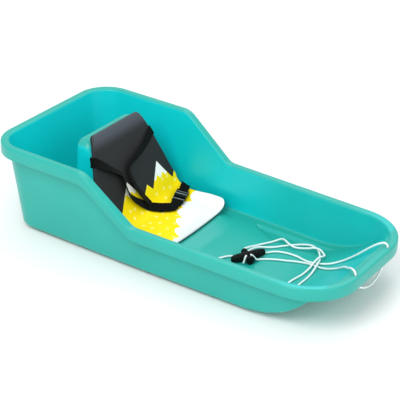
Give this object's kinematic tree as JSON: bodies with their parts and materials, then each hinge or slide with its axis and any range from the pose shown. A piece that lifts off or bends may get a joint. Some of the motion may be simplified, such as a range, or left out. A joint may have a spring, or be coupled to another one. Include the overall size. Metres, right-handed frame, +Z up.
{
  "type": "baby pull sled",
  "caption": "Moulded baby pull sled with a high rear, a padded backrest, a webbing harness with a side release buckle, and a pull rope with a toggle handle.",
  "frame": {"origin": "centre of the footprint, on the ground plane that the runners stand on", "axes": "+X to the nose, the way the sled is pulled; +Y to its left side; +Z up"},
  "size_m": [0.79, 0.37, 0.213],
  "materials": {
    "shell_plastic": "satin moulded polyethylene, teal green",
    "pad_foam": "soft foam sheet with a printed face",
    "webbing": "ribbed woven webbing, black",
    "black_plastic": "fine grained, black",
    "rope": "twisted cord, white"
  },
  "bodies": {
    "sled": {"tub": "shell_plastic", "seat_pad": "pad_foam", "strap_near": "webbing", "strap_far": "webbing", "hip_strap": "webbing", "anchor_near": "black_plastic", "anchor_far": "black_plastic", "anchor_hip": "black_plastic", "buckle_housing": "black_plastic", "pull_handle": "black_plastic", "rope_far": "rope", "rope_near": "rope", "rope_lip": "rope", "rope_loop": "rope", "rope_turn": "rope", "rope_tail": "rope", "tail_knot": "rope"},
    "insert": {"buckle_insert": "black_plastic"},
    "prong_near_arm": {"prong_near": "black_plastic"},
    "prong_far_arm": {"prong_far": "black_plastic"}
  },
  "joints": [
    {"name": "buckle_pull", "type": "slide", "parent": "sled", "child": "insert", "axis": [0.296, -0.9461, -0.131], "range_m": [0, 0.024], "deforming": ["prong_near", "prong_far", "strap_near"]},
    {"name": "prong_near_squeeze", "type": "hinge", "parent": "insert", "child": "prong_near_arm", "pos_m": [-0.11696, 0.08235, 0.03752], "axis": [-0.155, 0.087, -0.9841], "range_deg": [0, 8.5], "stiffness_Nm_per_rad": 0.05},
    {"name": "prong_far_squeeze", "type": "hinge", "parent": "insert", "child": "prong_far_arm", "pos_m": [-0.10302, 0.08697, 0.03573], "axis": [0.155, -0.087, 0.9841], "range_deg": [0, 8.5], "stiffness_Nm_per_rad": 0.05}
  ]
}
